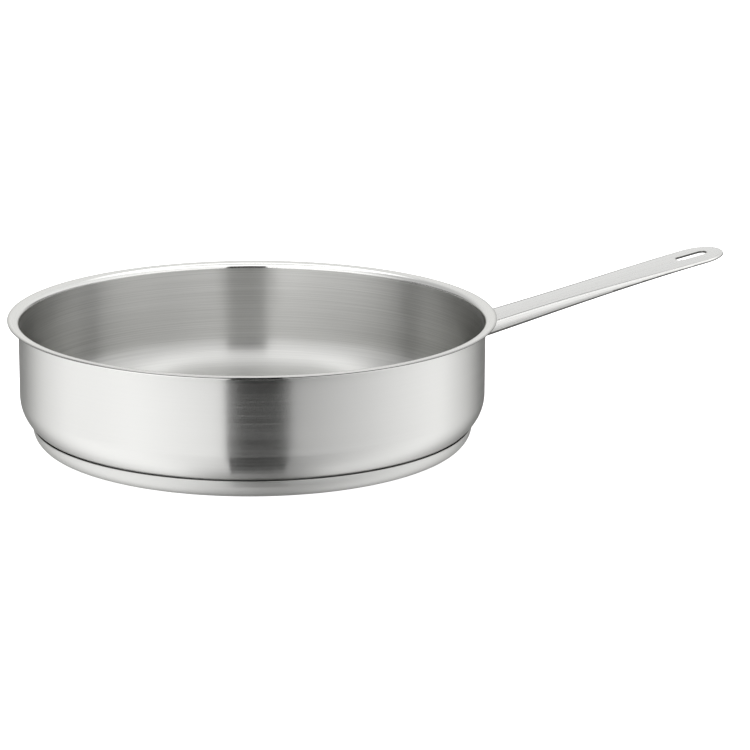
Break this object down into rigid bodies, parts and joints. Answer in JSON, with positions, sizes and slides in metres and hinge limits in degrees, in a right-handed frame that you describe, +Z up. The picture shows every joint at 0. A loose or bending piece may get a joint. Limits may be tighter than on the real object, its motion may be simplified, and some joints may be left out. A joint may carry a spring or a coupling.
{
  "type": "saute pan",
  "caption": "Wide straight-sided stainless steel saute pan with a flared pouring rim, a capsule base and a long welded channel handle that ends in a hanging slot.",
  "frame": {"origin": "middle of the flat underside of the base, on the table", "axes": "+X out along the handle, +Z up out of the pan"},
  "size_m": [0.4693, 0.2934, 0.0894],
  "materials": {
    "body_steel": "brushed around the wall, satin inside",
    "capsule_steel": "brushed around the edge",
    "handle_steel": "fine satin along its length",
    "weld_steel": "as welded, cleaned",
    "core_aluminium": "rolled",
    "braze_filler": "dull filler film"
  },
  "bodies": {
    "root": {"pan_body": "body_steel", "base_capsule": "capsule_steel", "lower_braze": "braze_filler", "core_disc": "core_aluminium", "upper_braze": "braze_filler", "handle": "handle_steel", "weld_top": "weld_steel", "weld_left": "weld_steel", "weld_right": "weld_steel"}
  },
  "joints": []
}
